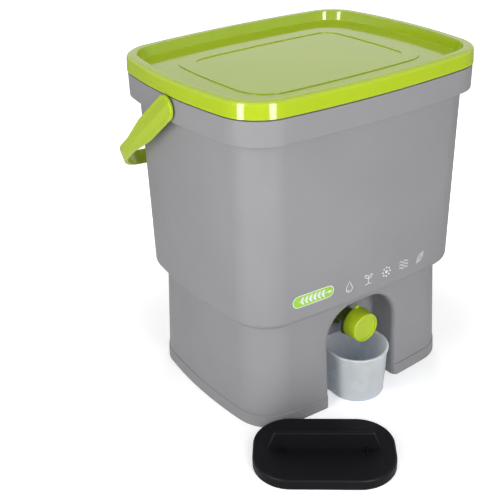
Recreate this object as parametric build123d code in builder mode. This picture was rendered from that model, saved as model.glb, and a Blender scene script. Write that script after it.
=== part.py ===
from build123d import *
from collections import namedtuple
import math
import os

os.makedirs("parts", exist_ok=True)

# A kitchen composting bin with a press-on lid, a swinging bail handle, a tap over a cup, a sieve
# plate inside and a loose press plate. It stands on the floor at z = 0, centred on the Z axis, with
# its long front face and the tap towards -Y. All lengths are in millimetres, all angles in degrees.

# A plan is one level of the bin: a rectangle with rounded corners whose four sides bow outwards.
Plan = namedtuple("Plan", "width depth corner front_bow side_bow")

# Overall height, and the heights of the layers that it is made of
total_height = 400.0
lid_rim_height = 17.6
lid_edge_gap = 1.7
band_height = 26.9
vessel_floor_height = 72.0
plinth_height = 15.3

# Outline of the lid, and of each level of the body at an inset from the lid's sides
lid_width = 346.6
lid_depth = 282.6
lid_corner = 50.0
lid_front_bow = 11.0
lid_side_bow = 14.5
body_top_inset = 10.1
body_top_corner = 42.0
body_top_front_bow = 10.6
body_top_side_bow = 14.0
body_foot_inset = 12.5
body_foot_corner = 48.0
base_top_inset = 23.4
base_top_corner = 47.0
base_foot_inset = 17.8
base_foot_corner = 48.0
base_front_bow = 8.5
base_side_bow = 11.5

# Body
wall = 2.4
band_inset = 0.6
neck_gap = 0.8
neck_wall = 2.6
neck_top_gap = 0.2
neck_edge_radius = 0.9
channel_gap = 3.2
shoulder_radius = 9.0
band_edge_radius = 1.0
plinth_proud = 0.9
web = 2.6

# Bay in the front of the base, where the cup stands
bay_width = 103.0
bay_headroom = 14.2
bay_roof = 10.2
bay_corner_radius = 38.5
bay_edge_radius = 6.5
bay_inner_radius = 9.0

# Lid
lid_skin = 2.2
lid_top_inset = 0.9
lid_top_radius = 4.2
rim_inner_radius = 1.4
channel_edge_radius = 1.5
recess_depth = 11.5
lid_floor_thickness = 2.0
lid_floor_radius = 0.5
recess_foot_inset = 2.2
plug_gap = 0.8
plug_wall = 2.0
plug_length = 8.0
bead_outer_width = 245.0
bead_outer_depth = 184.0
bead_corner = 38.0
bead_bow = 4.0
bead_width = 20.0
bead_height = 3.0
bead_root = 1.0

# Bail handle
pivot_drop = 11.9
bail_rest_angle = 37.5
bail_rest_gap = 0.3
bail_thickness = 4.0
strap_edge_radius = 0.9
bail_side_gap = 1.1
bail_corner_radius = 52.0
ear_radius = 14.0
strap_width = 18.0
strap_shoulder_reach = 62.0
strap_waist_reach = 108.0
roof_margin = 4.6
roof_height = 1.5
roof_end_height = 0.3
grip_length = 118.0
grip_width = 21.0
grip_thickness = 12.0
grip_radius = 5.0
grip_edge_radius = 4.0
pin_radius = 5.0
pin_fit = 0.08
boss_radius = 8.5
boss_gap = 0.3
pin_head = 0.9
pin_head_gap = 0.3
pin_head_length = 2.4

# Sieve plate
sieve_thickness = 2.6
sieve_gap = 0.5
sieve_seat_gap = 0.2
sieve_hole_radius = 3.0
sieve_pitch = 24.0
sieve_margin = 20.0
sieve_edge_radius = 0.8

# Tap, along -Y through the wall behind the bay
thread_radius = 10.0
thread_overhang = 3.0
thread_fit = 0.1
inlet_radius = 6.0
flange_radius = 15.5
flange_thickness = 4.0
flange_edge_radius = 1.2
gasket_thickness = 2.0
gasket_margin = 1.0
washer_radius = 14.0
washer_thickness = 2.0
nut_radius = 15.0
nut_thickness = 7.0
nut_clearance = 2.6
barrel_radius = 11.0
barrel_length = 27.0
stem_radius = 7.0
stem_length = 25.0
stem_fit = 0.08
stem_bore_radius = 3.6
port_radius = 3.6
port_reach = 10.1
spout_radius = 7.0
spout_bore_radius = 4.6
spout_drop = 22.4
spout_edge_radius = 0.8
ring_radius = 1.0
ring_reach = 21.0
ring_fit = 0.03
knob_gap = 0.4
knob_length = 19.4
knob_radius = 19.6
knob_front_radius = 18.0
knob_front_edge = 1.8
knob_back_edge = 1.0
knob_dish_radius = 15.0
knob_dish_depth = 1.6
lug_radius = 2.6
lug_length = 2.5
lug_share = 1.07

# Cup under the tap
cup_headroom = 7.2
cup_top_radius = 36.2
cup_foot_radius = 33.0
cup_corner = 13.0
cup_lip = 1.5
cup_lip_height = 2.6
cup_wall = 1.5
cup_foot_round = 3.0
cup_distance = 110.4
cup_wall_gap = 0.3
cup_foot_recess = 1.2
cup_foot_ring = 7.0

# Press plate, which lies on the floor in front of the left leg
press_length = 158.4
press_width = 105.5
press_corner = 42.5
press_height = 12.0
press_skin = 2.4
press_top_radius = 2.6
press_angle = -37.8
press_bearing_angle = -111.7
press_gap = 0.35
fin_foot_length = 126.0
fin_top_length = 108.5
fin_height = 22.0
fin_thickness = 4.4
fin_corner_radius = 3.0
fin_edge_radius = 1.0
gusset_place = 47.0
gusset_reach = 9.0
gusset_height = 5.0
gusset_thickness = 2.0

# One overrun serves every cut
overrun = 1.0

# Heights that follow from the sizes above
lid_edge_height = total_height - lid_rim_height
lid_floor_height = total_height - recess_depth
band_top_height = lid_edge_height - lid_edge_gap
band_bottom_height = band_top_height - band_height
neck_top_height = total_height - lid_skin - neck_top_gap
pivot_height = band_top_height - pivot_drop
vessel_bottom_height = vessel_floor_height + wall
tap_height = vessel_bottom_height + nut_radius + nut_clearance
bay_height = tap_height + knob_radius + bay_headroom
step_height = bay_height + bay_roof
ledge_height = step_height + wall
cup_height = tap_height - spout_drop - cup_headroom

# Widths and depths that follow
neck_inset = lid_skin + neck_gap
channel_width = neck_gap + neck_wall + channel_gap
rim_width = lid_skin + channel_width + lid_skin
tap_wall_front = cup_distance - cup_top_radius - cup_lip - cup_wall_gap
tap_wall_back = tap_wall_front - wall
flange_back = tap_wall_front + gasket_thickness
flange_front = flange_back + flange_thickness
barrel_front = flange_front + barrel_length
knob_back = barrel_front + knob_gap
knob_front = knob_back + knob_length
stem_back = barrel_front - stem_length
thread_end = tap_wall_back - washer_thickness - nut_thickness - thread_overhang
spout_distance = stem_back + port_reach
ring_distance = stem_back + ring_reach
bail_side = lid_width / 2 + bail_side_gap


def level(inset, corner, front_bow, side_bow):
    """The plan of a level whose sides lie at an inset from the lid's."""
    return Plan(lid_width - 2 * inset, lid_depth - 2 * inset, corner, front_bow, side_bow)


lid_plan = level(0, lid_corner, lid_front_bow, lid_side_bow)
body_top_plan = level(body_top_inset, body_top_corner, body_top_front_bow, body_top_side_bow)
body_foot_plan = level(body_foot_inset, body_foot_corner, base_front_bow, base_side_bow)
base_top_plan = level(base_top_inset, base_top_corner, base_front_bow, base_side_bow)
base_foot_plan = level(base_foot_inset, base_foot_corner, base_front_bow, base_side_bow)
bead_plan = Plan(bead_outer_width, bead_outer_depth, bead_corner, bead_bow, bead_bow)


def inside(plan, gap):
    """The same plan with its outline moved in by a gap."""
    corner = plan.corner - gap
    return Plan(plan.width - 2 * gap, plan.depth - 2 * gap, corner, plan.front_bow, plan.side_bow)


def between(low, high, share):
    """The plan at a share of the way from one plan to another."""
    return Plan(*(a + (b - a) * share for a, b in zip(low, high)))


def plan_face(plan):
    """One plan as a flat face."""
    x = plan.width / 2 - plan.side_bow
    y = plan.depth / 2 - plan.front_bow
    with BuildSketch() as face:
        with BuildLine():
            ThreePointArc((-x, -y), (0, -plan.depth / 2), (x, -y))
            ThreePointArc((x, -y), (plan.width / 2, 0), (x, y))
            ThreePointArc((x, y), (0, plan.depth / 2), (-x, y))
            ThreePointArc((-x, y), (-plan.width / 2, 0), (-x, -y))
        make_face()
        fillet(face.vertices(), plan.corner)
    return face.sketch


def plan_block(low_height, low_plan, high_height, high_plan):
    """A solid that runs straight from one plan to another."""
    with BuildPart() as block:
        with BuildSketch(Plane.XY.offset(low_height)):
            add(plan_face(low_plan))
        with BuildSketch(Plane.XY.offset(high_height)):
            add(plan_face(high_plan))
        loft(ruled=True)
    return block.part


def plan_ring(low_height, high_height, plan, thickness):
    """An upright wall that follows a plan."""
    with BuildPart() as ring:
        with BuildSketch(Plane.XY.offset(low_height)):
            add(plan_face(plan))
            add(plan_face(inside(plan, thickness)), mode=Mode.SUBTRACT)
        extrude(amount=high_height - low_height)
    return ring.part


def body_plan(height):
    """The outer plan of the upper body at a height between the step and the band's top."""
    share = (height - step_height) / (band_top_height - step_height)
    return between(body_foot_plan, body_top_plan, share)


def base_plan(height):
    """The outer plan of the base at a height between the floor and the step."""
    return between(base_foot_plan, base_top_plan, height / step_height)


def round_x(radius, start, end):
    """A round solid along X on the handle's pivot line."""
    with BuildPart() as pin:
        with BuildSketch(Plane.YZ.offset(start)):
            with Locations((0, pivot_height)):
                Circle(radius)
        extrude(amount=end - start)
    return pin.part


def round_y(radius, start, end):
    """A round solid on the tap's axis, between two distances in front of the Z axis."""
    with BuildPart() as disc:
        with BuildSketch(Plane.XZ.offset(start)):
            with Locations((0, tap_height)):
                Circle(radius)
        extrude(amount=end - start)
    return disc.part


def arch_block(start, grow):
    """The bay's space from one distance in front of the Z axis outwards, larger by a margin."""
    half = bay_width / 2 + grow
    top = bay_height + grow
    corners = [(half, -overrun), (half, top), (-half, top), (-half, -overrun)]
    with BuildPart() as block:
        with BuildSketch(Plane.XZ.offset(start)):
            with BuildLine():
                FilletPolyline(*corners, radius=bay_corner_radius + grow)
                Line(corners[0], corners[-1])
            make_face()
        extrude(amount=base_foot_plan.depth / 2)
        back_edges = block.edges().group_by(Axis.Y)[-1].sort_by(Axis.Z)[1:]
        fillet(back_edges, bay_inner_radius + grow)
    return block.part


def cut_bay(block):
    """The same solid with the bay cut out of it and the bay's mouth rounded."""
    with BuildPart() as cut:
        add(block)
        add(arch_block(tap_wall_front, 0), mode=Mode.SUBTRACT)
        mouth_line = -(tap_wall_front + base_foot_plan.depth / 2) / 2
        mouth_edges = [edge for edge in cut.edges()
                       if edge.bounding_box().max.Y < mouth_line
                       and abs(edge.center().X) < bay_width / 2 + overrun
                       and edge.center().Z < bay_height + overrun]
        fillet(mouth_edges, bay_edge_radius)
    return cut.part


# Base with its bay, the plinth round its foot, and the inner walls: the bay's lining and a web
base_block = cut_bay(plan_block(0, base_foot_plan, step_height, base_top_plan))

plinth_foot = inside(base_foot_plan, -plinth_proud)
plinth_top = inside(base_plan(plinth_height), -plinth_proud)
plinth = cut_bay(plan_block(0, plinth_foot, plinth_height, plinth_top))

with BuildPart() as base_lining:
    add(arch_block(tap_wall_back, wall))
    with BuildSketch(Plane.XY):
        Rectangle(base_foot_plan.width, web)
    extrude(amount=vessel_floor_height)
    add(base_block, mode=Mode.INTERSECT)

# Band round the top of the body: a skirt that hangs from a flat ledge
with BuildPart() as band:
    band_plan = inside(lid_plan, band_inset)
    add(plan_block(band_bottom_height, band_plan, band_top_height, band_plan))
    fillet(band.edges().group_by(Axis.Z)[0], band_edge_radius)
    skirt_plan = inside(band_plan, wall)
    skirt_top = band_top_height - wall
    add(plan_block(band_bottom_height - overrun, skirt_plan, skirt_top, skirt_plan), mode=Mode.SUBTRACT)

# Chamber over the step, whose foot follows the round shoulder
with BuildPart() as chamber:
    chamber_foot = inside(body_plan(ledge_height), wall)
    chamber_top = inside(body_top_plan, wall)
    add(plan_block(ledge_height, chamber_foot, band_top_height, chamber_top))
    fillet(chamber.edges().group_by(Axis.Z)[0], shoulder_radius - wall)

# Neck that the lid presses onto
with BuildPart() as neck:
    neck_plan = inside(lid_plan, neck_inset)
    add(plan_ring(band_top_height - wall / 2, neck_top_height, neck_plan, neck_wall))
    fillet(neck.edges().group_by(Axis.Z)[-1], neck_edge_radius)

with BuildPart() as bin_body:
    # Upper body with its round shoulder, the band, the base and the plinth
    add(plan_block(step_height, body_foot_plan, band_top_height, body_top_plan))
    fillet(bin_body.edges().group_by(Axis.Z)[0], shoulder_radius)
    add(band.part)
    add(base_block)
    add(plinth)
    # Chamber, space for the liquid under the step, and the hollow foot
    add(chamber.part, mode=Mode.SUBTRACT)
    sump_foot = inside(base_plan(vessel_bottom_height), wall)
    sump_top = inside(base_top_plan, wall)
    add(plan_block(vessel_bottom_height, sump_foot, ledge_height + overrun, sump_top), mode=Mode.SUBTRACT)
    foot_top = inside(base_plan(vessel_floor_height), wall)
    foot_mouth = inside(base_foot_plan, wall)
    add(plan_block(-overrun, foot_mouth, vessel_floor_height, foot_top), mode=Mode.SUBTRACT)
    add(base_lining.part)
    add(neck.part)
    # Handle holes and tap hole
    hole_inner = lid_plan.width / 2 - band_inset - wall - overrun
    hole_outer = lid_plan.width / 2 + overrun
    for start, end in ((-hole_outer, -hole_inner), (hole_inner, hole_outer)):
        add(round_x(pin_radius + pin_fit, start, end), mode=Mode.SUBTRACT)
    tap_hole = round_y(thread_radius + thread_fit, tap_wall_back - overrun, tap_wall_front + overrun)
    add(tap_hole, mode=Mode.SUBTRACT)

bin_body.part.label = "bin_body"
export_step(bin_body.part, "parts/bin_body.step")

# Lid: a rim that caps the neck, a sunk floor with a raised bead, and a plug that seals the mouth
with BuildPart() as lid_recess:
    recess_mouth = inside(lid_plan, rim_width)
    recess_foot = inside(recess_mouth, recess_foot_inset)
    add(plan_block(lid_floor_height, recess_foot, total_height, recess_mouth))
    fillet(lid_recess.edges().group_by(Axis.Z)[0], lid_floor_radius)

with BuildPart() as lid_channel:
    channel_top = total_height - lid_skin
    channel_plan = inside(lid_plan, lid_skin)
    add(plan_ring(lid_edge_height - overrun, channel_top, channel_plan, channel_width))
    fillet(lid_channel.edges().group_by(Axis.Z)[-1], channel_edge_radius)

with BuildPart() as lid_bead:
    bead_outline = plan_face(inside(bead_plan, bead_width / 2)).face().outer_wire()
    bead_path = Plane.XY.offset(lid_floor_height).from_local_coords(bead_outline)
    bead_along = bead_path % 0
    bead_across = Plane(origin=bead_path @ 0, x_dir=bead_along.cross(Vector(0, 0, 1)), z_dir=bead_along)
    with BuildSketch(bead_across):
        with BuildLine():
            ThreePointArc((-bead_width / 2, 0), (0, bead_height), (bead_width / 2, 0))
            Polyline((bead_width / 2, 0), (bead_width / 2, -bead_root), (-bead_width / 2, -bead_root),
                     (-bead_width / 2, 0))
        make_face()
    sweep(path=bead_path)

with BuildPart() as lid:
    add(plan_block(lid_edge_height, lid_plan, total_height, inside(lid_plan, lid_top_inset)))
    fillet(lid.edges().group_by(Axis.Z)[-1], lid_top_radius)
    add(lid_recess.part, mode=Mode.SUBTRACT)
    fillet(lid.faces().sort_by(Axis.Z)[-1].inner_wires()[0].edges(), rim_inner_radius)
    add(lid_channel.part, mode=Mode.SUBTRACT)
    add(lid_bead.part)
    # Hollow under the floor, and the plug that hangs in it
    lid_floor_bottom = lid_floor_height - lid_floor_thickness
    hollow = plan_block(lid_edge_height - overrun, recess_mouth, lid_floor_bottom, recess_mouth)
    add(hollow, mode=Mode.SUBTRACT)
    plug_plan = inside(body_top_plan, wall + plug_gap)
    plug_top = lid_floor_height - lid_floor_thickness / 2
    add(plan_ring(lid_edge_height - plug_length, plug_top, plug_plan, plug_wall))

lid.part.label = "lid"
export_step(lid.part, "parts/lid.step")

# Bail handle: a flat strap bent to a hoop that reaches behind the bin and rests on its back wall
rest_sine = math.sin(math.radians(bail_rest_angle))
rest_cosine = math.cos(math.radians(bail_rest_angle))
grip_rest_height = pivot_height - body_top_plan.depth / 2 * rest_sine / rest_cosine
grip_rest_wall = body_plan(grip_rest_height).depth / 2 + bail_rest_gap
grip_edge_middle = grip_rest_wall + grip_edge_radius
grip_edge_reach = (grip_edge_middle + (grip_width / 2 - grip_edge_radius) * rest_sine) / rest_cosine
grip_middle_reach = grip_edge_reach - grip_edge_radius + grip_thickness / 2
bail_reach = grip_middle_reach + bail_thickness / 2
hoop_plane = Plane(origin=(0, 0, pivot_height), x_dir=(1, 0, 0), z_dir=(0, rest_sine, rest_cosine))
side_plane = Plane(origin=(0, 0, pivot_height), x_dir=(0, rest_cosine, -rest_sine), z_dir=(1, 0, 0))


def arm_plane(reach):
    """The plane across the handle's arm at a distance from the pivot."""
    direction = (0, rest_cosine, -rest_sine)
    origin = (0, reach * rest_cosine, pivot_height - reach * rest_sine)
    return Plane(origin=origin, x_dir=(1, 0, 0), z_dir=direction)


def hoop_line(side, reach, corner_radius):
    """One edge of the hoop: down one arm, across and up the other."""
    points = [(-side, -ear_radius), (-side, reach), (side, reach), (side, -ear_radius)]
    return FilletPolyline(*points, radius=corner_radius)


def ear_face(radius, reach, end_width):
    """An arm seen from the side: round at the pivot, narrower at its far end."""
    with BuildSketch() as face:
        with BuildLine():
            Polyline((0, radius), (strap_shoulder_reach, radius), (strap_waist_reach, end_width / 2),
                     (reach, end_width / 2), (reach, -end_width / 2), (strap_waist_reach, -end_width / 2),
                     (strap_shoulder_reach, -radius), (0, -radius))
            ThreePointArc((0, -radius), (-radius, 0), (0, radius))
        make_face()
    return face.sketch


with BuildPart() as ear_roof:
    roof_half = ear_radius - roof_margin
    roof_end_half = strap_width / 2 - roof_margin / 2
    side = bail_side + bail_thickness
    for reach, half, height in ((-ear_radius, roof_half, roof_height),
                                (strap_waist_reach, roof_end_half, roof_end_height)):
        with BuildSketch(arm_plane(reach)):
            with BuildLine():
                Polyline((side - overrun, -half), (side, -half), (side + height, 0), (side, half),
                         (side - overrun, half), close=True)
            make_face()
    loft(ruled=True)
    with BuildSketch(side_plane):
        add(ear_face(roof_half, bail_reach, strap_width - roof_margin))
    extrude(amount=side + ear_radius, mode=Mode.INTERSECT)

with BuildPart() as bail_handle:
    with BuildSketch(hoop_plane):
        with BuildLine():
            outer = hoop_line(bail_side + bail_thickness, bail_reach, bail_corner_radius)
            inner = hoop_line(bail_side, bail_reach - bail_thickness, bail_corner_radius - bail_thickness)
            Line(outer @ 0, inner @ 0)
            Line(outer @ 1, inner @ 1)
        make_face()
    extrude(amount=ear_radius, both=True)
    with BuildSketch(side_plane):
        add(ear_face(ear_radius, bail_reach + overrun, strap_width))
    extrude(amount=bail_side + bail_thickness + overrun, both=True, mode=Mode.INTERSECT)
    fillet(bail_handle.edges(), strap_edge_radius)
    add(ear_roof.part)
    add(mirror(ear_roof.part, about=Plane.YZ, mode=Mode.PRIVATE))
    # Grip across the middle
    with BuildPart(mode=Mode.PRIVATE) as grip:
        with BuildSketch(hoop_plane):
            with Locations((0, grip_middle_reach)):
                RectangleRounded(grip_length, grip_thickness, grip_radius)
        extrude(amount=grip_width / 2, both=True)
        fillet(grip.edges().filter_by(Axis.X), grip_edge_radius)
    add(grip.part)
    # Pins that snap into the band, each with a boss outside and a head inside
    band_side = lid_plan.width / 2 - band_inset
    head_start = band_side - wall - pin_head_gap
    for mirrored in (False, True):
        pieces = [
            round_x(boss_radius, band_side + boss_gap, bail_side + bail_thickness / 2),
            round_x(pin_radius, head_start - pin_head_length, bail_side + bail_thickness / 2),
            round_x(pin_radius + pin_head, head_start - pin_head_length, head_start),
        ]
        for piece in pieces:
            add(mirror(piece, about=Plane.YZ, mode=Mode.PRIVATE) if mirrored else piece)

bail_handle.part.label = "bail_handle"
export_step(bail_handle.part, "parts/bail_handle.step")

# Sieve plate that lies on the ledge over the step
with BuildPart() as sieve_plate:
    sieve_foot = ledge_height + sieve_seat_gap
    sieve_plan = inside(body_plan(ledge_height), shoulder_radius + sieve_gap)
    add(plan_block(sieve_foot, sieve_plan, sieve_foot + sieve_thickness, sieve_plan))
    fillet(sieve_plate.edges().group_by(Axis.Z)[-1], sieve_edge_radius)
    across = 2 * int((sieve_plan.width / 2 - sieve_margin) / sieve_pitch) + 1
    along = 2 * int((sieve_plan.depth / 2 - sieve_margin) / sieve_pitch) + 1
    with BuildSketch(Plane.XY.offset(sieve_foot)):
        with GridLocations(sieve_pitch, sieve_pitch, across, along):
            Circle(sieve_hole_radius)
    extrude(amount=sieve_thickness, mode=Mode.SUBTRACT)

sieve_plate.part.label = "sieve_plate"
export_step(sieve_plate.part, "parts/sieve_plate.step")

# Tap body: threaded tail, flange, barrel and spout, bored for the stem
with BuildPart() as tap_body:
    add(round_y(flange_radius, flange_back, flange_front))
    fillet(tap_body.edges().group_by(Axis.Y)[0], flange_edge_radius)
    add(round_y(thread_radius, thread_end, flange_front))
    add(round_y(barrel_radius, flange_front, barrel_front))
    spout_foot = tap_height - spout_drop
    with BuildSketch(Plane.XY.offset(spout_foot)):
        with Locations((0, -spout_distance)):
            Circle(spout_radius)
    extrude(amount=spout_drop)
    fillet(tap_body.edges().group_by(Axis.Z)[0], spout_edge_radius)
    add(round_y(inlet_radius, thread_end - overrun, stem_back), mode=Mode.SUBTRACT)
    add(round_y(stem_radius + stem_fit, stem_back, barrel_front + overrun), mode=Mode.SUBTRACT)
    with BuildSketch(Plane.XY.offset(spout_foot - overrun)):
        with Locations((0, -spout_distance)):
            Circle(spout_bore_radius)
    extrude(amount=spout_drop, mode=Mode.SUBTRACT)

tap_body.part.label = "tap_body"
export_step(tap_body.part, "parts/tap_body.step")

# Gasket under the flange, washer and nut on the inner side of the wall
with BuildPart() as tap_gasket:
    add(round_y(flange_radius - gasket_margin, tap_wall_front, flange_back))
    add(round_y(thread_radius + thread_fit, tap_wall_front, flange_back), mode=Mode.SUBTRACT)

tap_gasket.part.label = "tap_gasket"
export_step(tap_gasket.part, "parts/tap_gasket.step")

washer_back = tap_wall_back - washer_thickness
with BuildPart() as tap_washer:
    add(round_y(washer_radius, washer_back, tap_wall_back))
    add(round_y(thread_radius + thread_fit, washer_back, tap_wall_back), mode=Mode.SUBTRACT)

tap_washer.part.label = "tap_washer"
export_step(tap_washer.part, "parts/tap_washer.step")

nut_back = washer_back - nut_thickness
with BuildPart() as tap_nut:
    with BuildSketch(Plane.XZ.offset(nut_back)):
        with Locations((0, tap_height)):
            RegularPolygon(nut_radius, 6)
    extrude(amount=nut_thickness)
    add(round_y(thread_radius + thread_fit, nut_back, washer_back), mode=Mode.SUBTRACT)

tap_nut.part.label = "tap_nut"
export_step(tap_nut.part, "parts/tap_nut.step")

# Knob with its hollow stem, whose side port faces up when the tap is shut
with BuildPart() as tap_knob:
    for distance, radius in ((knob_back, knob_radius), (knob_front, knob_front_radius)):
        with BuildSketch(Plane.XZ.offset(distance)):
            with Locations((0, tap_height)):
                Circle(radius)
    loft(ruled=True)
    fillet(tap_knob.edges().group_by(Axis.Y)[0], knob_front_edge)
    fillet(tap_knob.edges().group_by(Axis.Y)[-1], knob_back_edge)
    with BuildSketch(Plane.XZ.offset(knob_back)):
        with Locations((0, tap_height + knob_radius * lug_share)):
            Circle(lug_radius)
    extrude(amount=lug_length)
    add(round_y(knob_dish_radius, knob_front - knob_dish_depth, knob_front + overrun), mode=Mode.SUBTRACT)
    add(round_y(stem_radius, stem_back, knob_back + knob_back_edge))
    add(round_y(stem_bore_radius, stem_back - overrun, spout_distance), mode=Mode.SUBTRACT)
    with BuildSketch(Plane.XY.offset(tap_height)):
        with Locations((0, -spout_distance)):
            Circle(port_radius)
    extrude(amount=stem_radius + overrun, mode=Mode.SUBTRACT)
    groove_radius = stem_radius + stem_fit - ring_fit - 2 * ring_radius - ring_fit
    groove = round_y(stem_radius + overrun, ring_distance - ring_radius, ring_distance + ring_radius)
    core = round_y(groove_radius, ring_distance - 2 * ring_radius, ring_distance + 2 * ring_radius)
    add(groove.cut(core), mode=Mode.SUBTRACT)

tap_knob.part.label = "tap_knob"
export_step(tap_knob.part, "parts/tap_knob.step")

with BuildPart() as tap_ring:
    ring_middle = stem_radius + stem_fit - ring_fit - ring_radius
    with BuildSketch(Plane.YZ):
        with Locations((-ring_distance, tap_height + ring_middle)):
            Circle(ring_radius - ring_fit)
    revolve(axis=Axis((0, 0, tap_height), (0, 1, 0)))

tap_ring.part.label = "tap_ring"
export_step(tap_ring.part, "parts/tap_ring.step")

# Cup: a tapered beaker, round in front and flat at the back, with a small lip and a foot ring
def cup_face(radius):
    """The cup's outline where its front has a radius, round its own axis."""
    with BuildSketch() as face:
        with BuildLine():
            Polyline((-radius, 0), (-radius, radius), (radius, radius), (radius, 0))
            ThreePointArc((radius, 0), (0, -radius), (-radius, 0))
        make_face()
        fillet(face.vertices().group_by(Axis.Y)[-1], cup_corner - cup_top_radius + radius)
    return face.sketch


def cup_block(low_height, low_radius, high_height, high_radius):
    """A solid that runs straight from one level of the cup to another."""
    with BuildPart() as block:
        for height, radius in ((low_height, low_radius), (high_height, high_radius)):
            with BuildSketch(Plane(origin=(0, -cup_distance, height))):
                add(cup_face(radius))
        loft(ruled=True)
    return block.part


with BuildPart() as cup_rim:
    rim_radius = cup_top_radius + cup_lip
    add(cup_block(cup_height - cup_lip_height, rim_radius, cup_height, rim_radius))
    rim_levels = cup_rim.edges().group_by(Axis.Z)
    fillet(rim_levels[0] + rim_levels[-1], cup_lip / 2)

with BuildPart() as cup_hollow:
    hollow_foot = cup_wall + cup_foot_recess
    hollow_top_radius = cup_top_radius - cup_wall
    add(cup_block(hollow_foot, cup_foot_radius - cup_wall, cup_height + overrun, hollow_top_radius))
    fillet(cup_hollow.edges().group_by(Axis.Z)[0], cup_foot_round - cup_wall)

with BuildPart() as cup:
    add(cup_block(0, cup_foot_radius, cup_height, cup_top_radius))
    fillet(cup.edges().group_by(Axis.Z)[0], cup_foot_round)
    add(cup_rim.part)
    add(cup_hollow.part, mode=Mode.SUBTRACT)
    ring_radius_inside = cup_foot_radius - cup_foot_ring
    add(cup_block(-overrun, ring_radius_inside, cup_foot_recess, ring_radius_inside), mode=Mode.SUBTRACT)

cup.part.label = "cup"
export_step(cup.part, "parts/cup.step")

# Press plate: a shallow upturned tray with a fin to hold it by
plinth_edges = plan_face(plinth_foot).edges()
plinth_corner = plinth_edges.sort_by(lambda edge: edge.center().X + edge.center().Y)[0]
press_turned = Plane.XY.rotated((0, 0, press_angle))
press_bearing = Plane.XY.rotated((0, 0, press_bearing_angle)).x_dir
corner_distance = plinth_corner.radius + press_gap + press_corner
near_corner = plinth_corner.arc_center + press_bearing * corner_distance
along_press = press_turned.x_dir * (press_length / 2 - press_corner)
across_press = press_turned.y_dir * (press_corner - press_width / 2)
press_middle = near_corner + along_press + across_press
press_plane = Plane(origin=press_middle, x_dir=press_turned.x_dir, z_dir=press_turned.z_dir)
fin_plane = Plane(origin=press_plane.origin, x_dir=press_plane.x_dir, z_dir=-press_plane.y_dir)
with BuildPart() as press_plate:
    with BuildSketch(press_plane):
        RectangleRounded(press_length, press_width, press_corner)
    extrude(amount=press_height)
    fillet(press_plate.edges().group_by(Axis.Z)[-1], press_top_radius)
    with BuildSketch(press_plane):
        inner_corner = press_corner - press_skin
        RectangleRounded(press_length - 2 * press_skin, press_width - 2 * press_skin, inner_corner)
    extrude(amount=press_height - press_skin, mode=Mode.SUBTRACT)
    with BuildPart(mode=Mode.PRIVATE) as fin:
        fin_top = press_height + fin_height
        fin_root = press_height - press_skin / 2
        with BuildSketch(fin_plane) as fin_face:
            with BuildLine():
                Polyline((-fin_foot_length / 2, fin_root), (fin_foot_length / 2, fin_root),
                         (fin_top_length / 2, fin_top), (-fin_top_length / 2, fin_top), close=True)
            make_face()
            fillet(fin_face.vertices().group_by(Axis.Y)[-1], fin_corner_radius)
        extrude(amount=fin_thickness / 2, both=True)
        fillet(fin.edges().group_by(Axis.Z)[-1], fin_edge_radius)
    add(fin.part)
    for place in (-gusset_place, gusset_place):
        with BuildSketch(press_plane.offset(fin_root)):
            with Locations((place, 0)):
                Rectangle(gusset_thickness, 2 * gusset_reach + fin_thickness)
        extrude(amount=gusset_height)

press_plate.part.label = "press_plate"
export_step(press_plate.part, "parts/press_plate.step")
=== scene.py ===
import math

import bmesh
import bpy
from mathutils import Matrix, Vector
from mathutils.bvhtree import BVHTree


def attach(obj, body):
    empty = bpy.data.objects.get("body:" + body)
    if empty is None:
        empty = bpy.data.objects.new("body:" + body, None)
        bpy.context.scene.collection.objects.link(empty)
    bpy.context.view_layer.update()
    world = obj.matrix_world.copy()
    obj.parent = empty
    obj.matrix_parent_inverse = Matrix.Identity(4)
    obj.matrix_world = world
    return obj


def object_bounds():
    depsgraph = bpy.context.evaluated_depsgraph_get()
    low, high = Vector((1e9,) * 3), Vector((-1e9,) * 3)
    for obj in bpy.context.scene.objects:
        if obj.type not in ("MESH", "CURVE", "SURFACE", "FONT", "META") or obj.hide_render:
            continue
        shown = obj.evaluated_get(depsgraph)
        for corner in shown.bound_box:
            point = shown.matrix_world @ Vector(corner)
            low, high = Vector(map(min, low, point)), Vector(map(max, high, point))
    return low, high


# Looks for a kitchen composting bin. Lengths are in metres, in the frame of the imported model: +Z up,
# -Y towards the tap, the bin's foot centred on the origin.
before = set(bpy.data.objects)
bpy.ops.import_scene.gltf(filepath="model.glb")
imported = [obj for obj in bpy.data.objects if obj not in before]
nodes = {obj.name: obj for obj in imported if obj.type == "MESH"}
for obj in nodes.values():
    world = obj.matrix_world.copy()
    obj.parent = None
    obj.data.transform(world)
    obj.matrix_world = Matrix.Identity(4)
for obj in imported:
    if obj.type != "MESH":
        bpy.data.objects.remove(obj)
cad_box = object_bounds()
scene = bpy.context.scene
scene.view_settings.view_transform = "Standard"

MM = 0.001

# The surface of the bin's body, which carries the prints, and how far in front of it a ray can start
body_mesh = nodes["bin_body"].data
body_surface = BVHTree.FromPolygons([vertex.co for vertex in body_mesh.vertices],
                                    [tuple(face.vertices) for face in body_mesh.polygons])
ray_reach = cad_box[1][1] - cad_box[0][1]

# Colours, linear
GREY = (0.318, 0.315, 0.330)
LIME = (0.480, 0.640, 0.014)
CUP_TINT = (0.740, 0.820, 0.990)
# The tap's body and nut are the same lime; this darker copy of it is painted shade for where they sit in
# the bay
LIME_PAINTED_SHADE = (0.120, 0.185, 0.010)
BLACK = (0.0075, 0.0075, 0.0095)
RUBBER = (0.030, 0.030, 0.030)
LABEL_GREEN = (0.340, 0.690, 0.045)
PRINT_WHITE = (0.86, 0.86, 0.86)
FLOOR_WHITE = (0.93, 0.93, 0.93)

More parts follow.
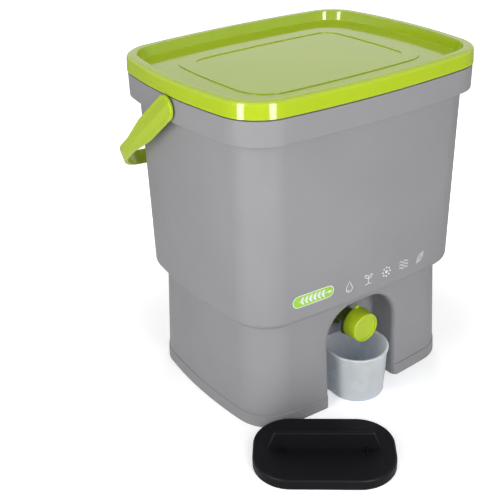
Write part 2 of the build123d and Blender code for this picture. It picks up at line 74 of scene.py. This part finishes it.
# Softboxes round the object: azimuth in degrees, as for the camera, and power in watts. They give
# even light and no highlights, and a weak one behind the object keeps its back from going dark.
SOFTBOXES = {"softbox_left": (-80.0, 5.4), "softbox_right": (-9.0, 6.3), "softbox_back": (140.0, 4.5)}
SOFTBOX_DISTANCE = 1.05
SOFTBOX_HEIGHT = 0.50
SOFTBOX_SIZE = (0.40, 0.96)

# Two upright strip lamps left and right of the camera, which show in gloss alone
STRIP_AZIMUTHS = {"strip_left": -75.4, "strip_right": -12.3}
STRIP_SIZE = (0.24, 0.96)
STRIP_FOOT = 0.16
STRIP_POWER = 11.0

# A wide softbox overhead, also without highlights
OVERHEAD_HEIGHT = 2.4
OVERHEAD_SIZE = (1.8, 1.8)
OVERHEAD_POWER = 12.0

# Surround: its strength for the camera, the share of that in gloss, and its least strength in shading
SURROUND_SEEN = 1.0
SURROUND_IN_GLOSS = 1.0
SURROUND_SHADING = 0.18

# Floor: how much it glows for the camera near the object and far from it, where that changes, and the
# share of the glow in gloss
FLOOR_REACH = 20.0
FLOOR_ROUGHNESS = 0.9
FLOOR_SPECULAR = 0.1
FLOOR_GLOW_NEAR = 0.42
FLOOR_GLOW_FAR = 0.95
FLOOR_GLOW_START = 0.20
FLOOR_GLOW_END = 0.50
FLOOR_GLOW_IN_GLOSS = 0.0

# Plastic: the scale and detail of its flow marks, gloss patches and grain, and the part of the noise
# that its colour and gloss follow
FLOW_SCALE = 9.0
FLOW_DETAIL = 3.0
PATCH_SCALE = 60.0
PATCH_DETAIL = 4.0
PATCH_SHARE = 0.12
GRAIN_SIZE = 0.6 * MM
GRAIN_DETAIL = 2.0
GRAIN_DEPTH = 0.03 * MM
NOISE_LOW = 0.3
NOISE_HIGH = 0.7
CUP_SCATTER = 10.0 * MM

# Printing on the front face: how far it stands out of the face and reaches into it, and its line width
PRINT_LIFT = 0.10 * MM
PRINT_ROOT = 0.05 * MM
PRINT_LINE = 0.80 * MM

# Label: its middle on the face, its size, and the sprig on it
LABEL_PLACE = (-80.5 * MM, 165.0 * MM)
LABEL_LENGTH = 55.0 * MM
LABEL_HEIGHT = 15.0 * MM
LABEL_BORDER = 0.9 * MM
LABEL_FIELD_LIFT = 1.6 * PRINT_LIFT
SPRIG_LIFT = 2.2 * PRINT_LIFT
SPRIG_SHARE = 0.36
SPRIG_STEM = 0.7 * MM
SPRIG_PITCH = 5.6 * MM
SPRIG_ANGLE = 52
SPRIG_TIP_INSET = 1.5 * MM

# Row of motifs: the middle of the first one on the face, and the pitch
MOTIF_PLACE = (-31.0 * MM, 161.0 * MM)
MOTIF_PITCH = 28.0 * MM

# Camera
CAMERA_TARGET = Vector((-0.076, 0.0, 0.1695))
CAMERA_DISTANCE = 1.0706
CAMERA_AZIMUTH = -34.4
CAMERA_ELEVATION = 27.8
CAMERA_ROLL = -2.0
CAMERA_LENS = 64.5
CAMERA_SENSOR = 36.0
CAMERA_REACH = 50.0


def direction(azimuth, elevation):
    """The unit vector from the object towards a viewer at an azimuth and an elevation, in degrees."""
    a, e = math.radians(azimuth), math.radians(elevation)
    return Vector((math.sin(a) * math.cos(e), -math.cos(a) * math.cos(e), math.sin(e)))


def make_camera():
    """The camera at the photograph's angle, with a slight roll."""
    data = bpy.data.cameras.new("camera")
    data.lens = CAMERA_LENS
    data.sensor_width = CAMERA_SENSOR
    data.clip_end = CAMERA_REACH
    camera = bpy.data.objects.new("camera", data)
    scene.collection.objects.link(camera)
    back = direction(CAMERA_AZIMUTH, CAMERA_ELEVATION)
    level_right = direction(CAMERA_AZIMUTH + 90, 0)
    level_up = back.cross(level_right)
    roll = math.radians(CAMERA_ROLL)
    right = level_right * math.cos(roll) + level_up * math.sin(roll)
    up = back.cross(right)
    turn = Matrix((right, up, back)).transposed().to_4x4()
    camera.matrix_world = Matrix.Translation(CAMERA_TARGET + back * CAMERA_DISTANCE) @ turn
    scene.camera = camera


def make_light(name, place, aim, size, power):
    """A soft rectangular lamp that faces a point; size is its width and height."""
    data = bpy.data.lights.new(name, "AREA")
    data.shape = "RECTANGLE"
    data.size, data.size_y = size
    data.energy = power
    lamp = bpy.data.objects.new(name, data)
    scene.collection.objects.link(lamp)
    away = (Vector(place) - Vector(aim)).normalized()
    lamp.matrix_world = Matrix.Translation(place) @ away.to_track_quat("Z", "Y").to_matrix().to_4x4()
    return lamp


def stand_light(name, azimuth, height, size, power):
    """An upright lamp at the softboxes' distance that faces the object's axis."""
    aim = Vector((0, 0, height))
    return make_light(name, direction(azimuth, 0) * SOFTBOX_DISTANCE + aim, aim, size, power)


def make_softboxes():
    """The softboxes round the object and overhead, and the strips that make the highlights."""
    for name, (azimuth, power) in SOFTBOXES.items():
        stand_light(name, azimuth, SOFTBOX_HEIGHT, SOFTBOX_SIZE, power).visible_glossy = False
    strip_height = STRIP_FOOT + STRIP_SIZE[1] / 2
    for name, azimuth in STRIP_AZIMUTHS.items():
        stand_light(name, azimuth, strip_height, STRIP_SIZE, STRIP_POWER).visible_diffuse = False
    overhead = make_light("overhead", (0, 0, OVERHEAD_HEIGHT), (0, 0, 0), OVERHEAD_SIZE, OVERHEAD_POWER)
    overhead.visible_glossy = False


def ray_share(tree, gloss_share):
    """A value that is 1 for rays from the camera and through clear parts, and a share of it in gloss."""
    path = tree.nodes.new("ShaderNodeLightPath")
    gloss = tree.nodes.new("ShaderNodeMath")
    gloss.operation = "MULTIPLY"
    gloss.inputs[1].default_value = gloss_share
    tree.links.new(path.outputs["Is Glossy Ray"], gloss.inputs[0])
    value = gloss.outputs[0]
    for ray in ("Is Camera Ray", "Is Transmission Ray"):
        larger = tree.nodes.new("ShaderNodeMath")
        larger.operation = "MAXIMUM"
        tree.links.new(value, larger.inputs[0])
        tree.links.new(path.outputs[ray], larger.inputs[1])
        value = larger.outputs[0]
    return value


def make_world():
    """A white surround for the camera and in gloss, and a soft grey one for the shading."""
    world = bpy.data.worlds.new("surround")
    scene.world = world
    world.use_nodes = True
    tree = world.node_tree
    background = tree.nodes["Background"]
    strength = tree.nodes.new("ShaderNodeMath")
    strength.operation = "MAXIMUM"
    strength.inputs[1].default_value = SURROUND_SHADING
    tree.links.new(ray_share(tree, SURROUND_IN_GLOSS), strength.inputs[0])
    tree.links.new(strength.outputs[0], background.inputs["Strength"])
    background.inputs["Color"].default_value = (SURROUND_SEEN, SURROUND_SEEN, SURROUND_SEEN, 1.0)


def make_floor():
    """A pale floor that keeps the object's soft shadow and turns white further out."""
    mesh = bpy.data.meshes.new("floor")
    corners = [(x * FLOOR_REACH, y * FLOOR_REACH, 0) for x, y in ((-1, -1), (1, -1), (1, 1), (-1, 1))]
    mesh.from_pydata(corners, [], [(0, 1, 2, 3)])
    floor = bpy.data.objects.new("floor", mesh)
    scene.collection.objects.link(floor)
    material = bpy.data.materials.new("floor_white")
    material.use_nodes = True
    tree = material.node_tree
    shader = tree.nodes["Principled BSDF"]
    shader.inputs["Base Color"].default_value = (*FLOOR_WHITE, 1.0)
    shader.inputs["Roughness"].default_value = FLOOR_ROUGHNESS
    shader.inputs["Specular IOR Level"].default_value = FLOOR_SPECULAR
    shader.inputs["Emission Color"].default_value = (1.0, 1.0, 1.0, 1.0)
    place = tree.nodes.new("ShaderNodeTexCoord")
    distance = tree.nodes.new("ShaderNodeVectorMath")
    distance.operation = "LENGTH"
    tree.links.new(place.outputs["Object"], distance.inputs[0])
    rise = tree.nodes.new("ShaderNodeMapRange")
    rise.interpolation_type = "SMOOTHSTEP"
    rise.inputs["From Min"].default_value = FLOOR_GLOW_START
    rise.inputs["From Max"].default_value = FLOOR_GLOW_END
    rise.inputs["To Min"].default_value = FLOOR_GLOW_NEAR
    rise.inputs["To Max"].default_value = FLOOR_GLOW_FAR
    tree.links.new(distance.outputs["Value"], rise.inputs["Value"])
    glow = tree.nodes.new("ShaderNodeMath")
    glow.operation = "MULTIPLY"
    tree.links.new(ray_share(tree, FLOOR_GLOW_IN_GLOSS), glow.inputs[0])
    tree.links.new(rise.outputs["Result"], glow.inputs[1])
    tree.links.new(glow.outputs[0], shader.inputs["Emission Strength"])
    mesh.materials.append(material)


def plastic(name, color, roughness, grain=0.25, specular=0.5, tint=0.04):
    """Moulded plastic: even colour with faint flow marks, a fine surface grain and patchy gloss."""
    material = bpy.data.materials.new(name)
    material.use_nodes = True
    tree = material.node_tree
    shader = tree.nodes["Principled BSDF"]
    place = tree.nodes.new("ShaderNodeTexCoord")

    def noise(scale, detail):
        node = tree.nodes.new("ShaderNodeTexNoise")
        node.inputs["Scale"].default_value = scale
        node.inputs["Detail"].default_value = detail
        tree.links.new(place.outputs["Object"], node.inputs["Vector"])
        return node.outputs["Fac"]

    def spread(value, low, high):
        node = tree.nodes.new("ShaderNodeMapRange")
        node.inputs["From Min"].default_value = NOISE_LOW
        node.inputs["From Max"].default_value = NOISE_HIGH
        node.inputs["To Min"].default_value = low
        node.inputs["To Max"].default_value = high
        tree.links.new(value, node.inputs["Value"])
        return node.outputs["Result"]

    flow = spread(noise(FLOW_SCALE, FLOW_DETAIL), 0.0, 1.0)
    mix = tree.nodes.new("ShaderNodeMix")
    mix.data_type = "RGBA"
    mix.inputs["A"].default_value = (*[c * (1 - tint) for c in color], 1.0)
    mix.inputs["B"].default_value = (*[min(1.0, c * (1 + tint)) for c in color], 1.0)
    tree.links.new(flow, mix.inputs["Factor"])
    tree.links.new(mix.outputs["Result"], shader.inputs["Base Color"])
    patches = noise(PATCH_SCALE, PATCH_DETAIL)
    gloss = spread(patches, roughness * (1 - PATCH_SHARE), roughness * (1 + PATCH_SHARE))
    tree.links.new(gloss, shader.inputs["Roughness"])
    bump = tree.nodes.new("ShaderNodeBump")
    bump.inputs["Strength"].default_value = grain
    bump.inputs["Distance"].default_value = GRAIN_DEPTH
    tree.links.new(noise(1 / GRAIN_SIZE, GRAIN_DETAIL), bump.inputs["Height"])
    tree.links.new(bump.outputs["Normal"], shader.inputs["Normal"])
    shader.inputs["Specular IOR Level"].default_value = specular
    return material


def paint(name, material):
    """Gives a CAD node one material in all its slots."""
    mesh = nodes[name].data
    if not mesh.materials:
        mesh.materials.append(material)
    for index in range(len(mesh.materials)):
        mesh.materials[index] = material


def make_materials():
    """Paints every CAD node."""
    grey = plastic("grey_moulding", GREY, roughness=0.50, grain=0.30, specular=0.18)
    lime = plastic("lime_moulding", LIME, roughness=0.10, grain=0.06, specular=0.55, tint=0.02)
    # A darker copy of the lime, as painted shade on the tap's body and nut
    lime_painted_shade = plastic("lime_moulding_painted_shade", LIME_PAINTED_SHADE, roughness=0.22, grain=0.06, specular=0.40, tint=0.03)
    black = plastic("black_moulding", BLACK, roughness=0.40, grain=0.30, specular=0.11)
    rubber = plastic("rubber_seal", RUBBER, roughness=0.75, grain=0.50, specular=0.30)
    cup = plastic("milky_cup", CUP_TINT, roughness=0.26, grain=0.10, tint=0.02)
    shader = cup.node_tree.nodes["Principled BSDF"]
    shader.inputs["Subsurface Weight"].default_value = 1.0
    shader.inputs["Subsurface Radius"].default_value = (1.0, 1.0, 1.0)
    shader.inputs["Subsurface Scale"].default_value = CUP_SCATTER
    for name in ("bin_body", "sieve_plate"):
        paint(name, grey)
    for name in ("lid", "bail_handle", "tap_knob"):
        paint(name, lime)
    # The tap's body and nut take the lime with painted shade
    for name in ("tap_body", "tap_nut"):
        paint(name, lime_painted_shade)
    for name in ("tap_gasket", "tap_washer", "tap_ring"):
        paint(name, rubber)
    paint("press_plate", black)
    paint("cup", cup)


def circle(middle, radius, count=36, start=0.0, sweep=360.0):
    """Points along a circle or an arc, counter-clockwise; angles in degrees."""
    full = abs(sweep) >= 360.0
    steps = count if full else count - 1
    angles = [math.radians(start + sweep * i / steps) for i in range(count)]
    return [(middle[0] + radius * math.cos(a), middle[1] + radius * math.sin(a)) for a in angles]


def leaf(foot, length, width, angle, count=14):
    """The closed outline of a pointed leaf that grows from its foot at an angle, in degrees."""
    turn = math.radians(angle)
    along = (math.cos(turn), math.sin(turn))
    across = (-along[1], along[0])
    shares = [i / count for i in range(count + 1)]
    edge = [(share * length, width / 2 * math.sin(math.pi * share ** 0.85)) for share in shares]
    outline = edge + [(reach, -half) for reach, half in reversed(edge[1:-1])]
    return [(foot[0] + along[0] * reach + across[0] * half, foot[1] + along[1] * reach + across[1] * half)
            for reach, half in outline]


class Printing:
    """A thin raised print on the front face of the bin, drawn in the face's own plane (x, z)."""

    def __init__(self, name, place, material, slot, lift=PRINT_LIFT):
        self.name, self.place, self.material, self.slot, self.lift = name, place, material, slot, lift
        self.mesh = bmesh.new()

    def corner(self, point):
        """The outer and the inner vertex of the print at one point of the face."""
        start = Vector((self.place[0] + point[0], -ray_reach, self.place[1] + point[1]))
        hit, normal, _, _ = body_surface.ray_cast(start, Vector((0, 1, 0)))
        return self.mesh.verts.new(hit + normal * self.lift), self.mesh.verts.new(hit - normal * PRINT_ROOT)

    def line(self, points, closed=False, width=PRINT_LINE):
        """A line of even width along the points."""
        pairs = []
        last = len(points) - 1
        for i, point in enumerate(points):
            before = points[i - 1] if i > 0 or closed else point
            after = points[(i + 1) % len(points)] if i < last or closed else point
            run = Vector((after[0] - before[0], after[1] - before[1])).normalized()
            side = Vector((-run.y, run.x)) * width / 2
            pairs.append((self.corner((point[0] + side.x, point[1] + side.y)),
                          self.corner((point[0] - side.x, point[1] - side.y))))
        ends = [(pairs[i], pairs[(i + 1) % len(pairs)]) for i in range(len(pairs) if closed else last)]
        for (left, right), (next_left, next_right) in ends:
            self.mesh.faces.new((left[0], next_left[0], next_right[0], right[0]))
            self.mesh.faces.new((left[1], right[1], next_right[1], next_left[1]))
            self.mesh.faces.new((left[0], left[1], next_left[1], next_left[0]))
            self.mesh.faces.new((right[0], next_right[0], next_right[1], right[1]))
        if not closed:
            for left, right in (pairs[0], pairs[-1]):
                self.mesh.faces.new((left[0], right[0], right[1], left[1]))

    def patch(self, points):
        """A small filled shape, as a fan round its middle."""
        middle = (sum(p[0] for p in points) / len(points), sum(p[1] for p in points) / len(points))
        heart = self.corner(middle)
        ring = [self.corner(point) for point in points]
        for one, two in zip(ring, ring[1:] + ring[:1]):
            self.mesh.faces.new((one[0], two[0], heart[0]))
            self.mesh.faces.new((two[1], one[1], heart[1]))
            self.mesh.faces.new((one[0], one[1], two[1], two[0]))

    def capsule(self, length, height, count=44):
        """A filled bar with round ends, in upright columns that follow the face's bow."""
        radius = height / 2
        columns = []
        for i in range(count + 1):
            reach = -length / 2 * math.cos(math.pi * i / count)
            past = max(0.0, abs(reach) - (length / 2 - radius))
            half = math.sqrt(max(0.0, radius ** 2 - past ** 2))
            columns.append((reach, half))
        tips = [self.corner((columns[0][0], 0)), self.corner((columns[-1][0], 0))]
        rows = [(self.corner((reach, half)), self.corner((reach, -half))) for reach, half in columns[1:-1]]
        for (high, low), (next_high, next_low) in zip(rows, rows[1:]):
            self.mesh.faces.new((high[0], next_high[0], next_low[0], low[0]))
            self.mesh.faces.new((high[1], low[1], next_low[1], next_high[1]))
            self.mesh.faces.new((high[0], high[1], next_high[1], next_high[0]))
            self.mesh.faces.new((low[0], next_low[0], next_low[1], low[1]))
        for tip, (high, low) in ((tips[0], rows[0]), (tips[1], rows[-1])):
            self.mesh.faces.new((tip[0], high[0], low[0]))
            self.mesh.faces.new((tip[1], low[1], high[1]))
            self.mesh.faces.new((tip[0], tip[1], high[1], high[0]))
            self.mesh.faces.new((tip[0], low[0], low[1], tip[1]))

    def finish(self):
        """Turns what was drawn into one piece that rides on the bin."""
        bmesh.ops.recalc_face_normals(self.mesh, faces=self.mesh.faces)
        mesh = bpy.data.meshes.new(self.name)
        self.mesh.to_mesh(mesh)
        self.mesh.free()
        mesh.materials.append(self.material)
        piece = bpy.data.objects.new(self.name, mesh)
        scene.collection.objects.link(piece)
        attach(piece, "bin")
        return piece


def make_label(white, green):
    """A plain green bar with a white border and a sprig on it."""
    border = Printing("label_border", LABEL_PLACE, white, "clear_plastic")
    border.capsule(LABEL_LENGTH, LABEL_HEIGHT)
    border.finish()
    field = Printing("label_field", LABEL_PLACE, green, "lime_plastic", LABEL_FIELD_LIFT)
    field.capsule(LABEL_LENGTH - 2 * LABEL_BORDER, LABEL_HEIGHT - 2 * LABEL_BORDER)
    field.finish()
    sprig = Printing("label_sprig", LABEL_PLACE, white, "clear_plastic", SPRIG_LIFT)
    stem_half = SPRIG_SHARE * LABEL_LENGTH
    sprig.line([(-stem_half, 0), (0, 0), (stem_half, 0)], width=SPRIG_STEM)
    for i in range(-3, 3):
        for angle in (SPRIG_ANGLE, -SPRIG_ANGLE):
            sprig.patch(leaf((i * SPRIG_PITCH, 0), length=6.4 * MM, width=2.9 * MM, angle=angle))
    sprig.patch(leaf((stem_half - SPRIG_TIP_INSET, 0), length=6.6 * MM, width=3.2 * MM, angle=0))
    sprig.finish()


def make_motifs(white):
    """A row of five small line motifs."""
    for i, draw in enumerate((drop_motif, sprout_motif, seed_motif, wave_motif, leaf_motif)):
        place = (MOTIF_PLACE[0] + i * MOTIF_PITCH, MOTIF_PLACE[1])
        motif = Printing(draw.__name__, place, white, "clear_plastic")
        draw(motif)
        motif.finish()


def drop_motif(motif):
    """A water drop with a small arc inside."""
    belly = (0, -2.2 * MM)
    tip = (0, 7.2 * MM)
    radius = 4.4 * MM
    arc_share = 0.58
    motif.line(circle(belly, radius, count=30, start=150, sweep=240) + [tip], closed=True)
    motif.line(circle(belly, radius * arc_share, count=9, start=200, sweep=60))


def sprout_motif(motif):
    """A seedling: a stem with two open leaves over a short line of soil."""
    foot = (0, -5.5 * MM)
    bend = (0.3 * MM, -1.5 * MM)
    fork = (0, 1.0 * MM)
    top = (0, 2.0 * MM)
    soil_reach = 4.6 * MM
    soil_level = -6.2 * MM
    motif.line([foot, bend, top])
    motif.line(leaf(fork, length=7.6 * MM, width=3.6 * MM, angle=38), closed=True)
    motif.line(leaf(top, length=7.0 * MM, width=3.4 * MM, angle=140), closed=True)
    motif.line([(-soil_reach, soil_level), foot, (soil_reach, soil_level)])


def seed_motif(motif):
    """A ring of round seeds about a larger one."""
    middle = (0, 0)
    motif.patch(circle(middle, radius=2.0 * MM, count=20))
    for place in circle(middle, radius=5.6 * MM, count=8):
        motif.patch(circle(place, radius=1.15 * MM, count=14))


def wave_motif(motif):
    """Three small waves above each other, each of two periods."""
    length = 14.0 * MM
    pitch = 4.0 * MM
    height = 1.3 * MM
    steps = 32
    shares = [i / steps for i in range(steps + 1)]
    for row in (-1, 0, 1):
        motif.line([((share - 0.5) * length, row * pitch + height * math.sin(share * 4 * math.pi))
                    for share in shares])


def leaf_motif(motif):
    """A leaf with its midrib and side veins."""
    foot = Vector((-5.0 * MM, -5.5 * MM))
    angle = 47
    stalk = 2.4 * MM
    midrib = 12.2 * MM
    vein_places = (3.4 * MM, 6.4 * MM, 9.2 * MM)
    vein_run = 1.5 * MM
    vein_spread = 1.7 * MM
    vein_width = 0.4 * MM
    motif.line(leaf(foot, length=15.0 * MM, width=7.6 * MM, angle=angle), closed=True)
    turn = math.radians(angle)
    along = Vector((math.cos(turn), math.sin(turn)))
    across = Vector((-along.y, along.x))
    motif.line([tuple(foot - along * stalk), tuple(foot + along * midrib)])
    for reach in vein_places:
        for side in (1, -1):
            start = foot + along * reach
            end = start + along * vein_run + across * side * vein_spread
            motif.line([tuple(start), tuple(end)], width=vein_width)


def make_printing():
    """The label and the row of motifs, all printed flat."""
    white = plastic("print_white", PRINT_WHITE, roughness=0.42, grain=0.10, tint=0.01)
    green = plastic("label_green", LABEL_GREEN, roughness=0.30, grain=0.10, tint=0.02)
    make_label(white, green)
    make_motifs(white)


make_camera()
make_world()
make_floor()
make_softboxes()
make_materials()
make_printing()
